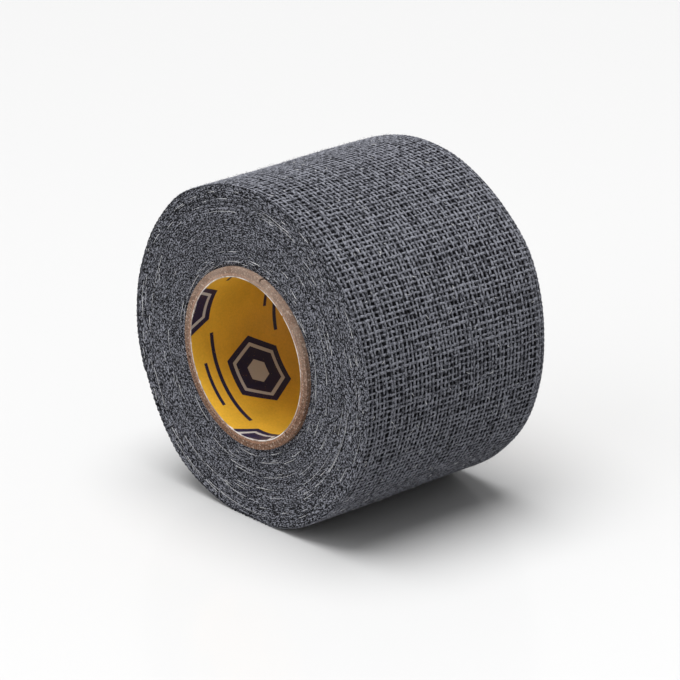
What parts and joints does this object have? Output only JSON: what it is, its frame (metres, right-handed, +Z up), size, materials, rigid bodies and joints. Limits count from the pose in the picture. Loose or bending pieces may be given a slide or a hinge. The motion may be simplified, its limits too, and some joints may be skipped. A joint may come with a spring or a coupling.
{
  "type": "cloth tape roll",
  "caption": "Roll of stretchy open-weave cloth grip tape on a paperboard core, with a free tail that peels off the roll.",
  "frame": {"origin": "on the resting surface, straight below the core's axis and half way along it", "axes": "+Z up; Y along the core's axis, with the front end face at -Y; +X to the right as seen from the front"},
  "size_m": [0.0537, 0.0392, 0.0532],
  "materials": {
    "printed_paper": "satin golden printed paper",
    "kraft_board": "raw brown kraft paperboard",
    "gauze_cloth": "matte dark grey open weave"
  },
  "bodies": {
    "roll": {"printed_liner": "printed_paper", "core_inner_ply": "kraft_board", "core_middle_ply": "kraft_board", "core_outer_ply": "kraft_board", "tape_winding": "gauze_cloth"},
    "tail": {"tape_tail": "gauze_cloth"}
  },
  "joints": [
    {"name": "tail_peel", "type": "hinge", "parent": "roll", "child": "tail", "pos_m": [-0.0234, 0, 0.03984], "axis": [0, 1, 0], "range_deg": [0, 120]}
  ]
}
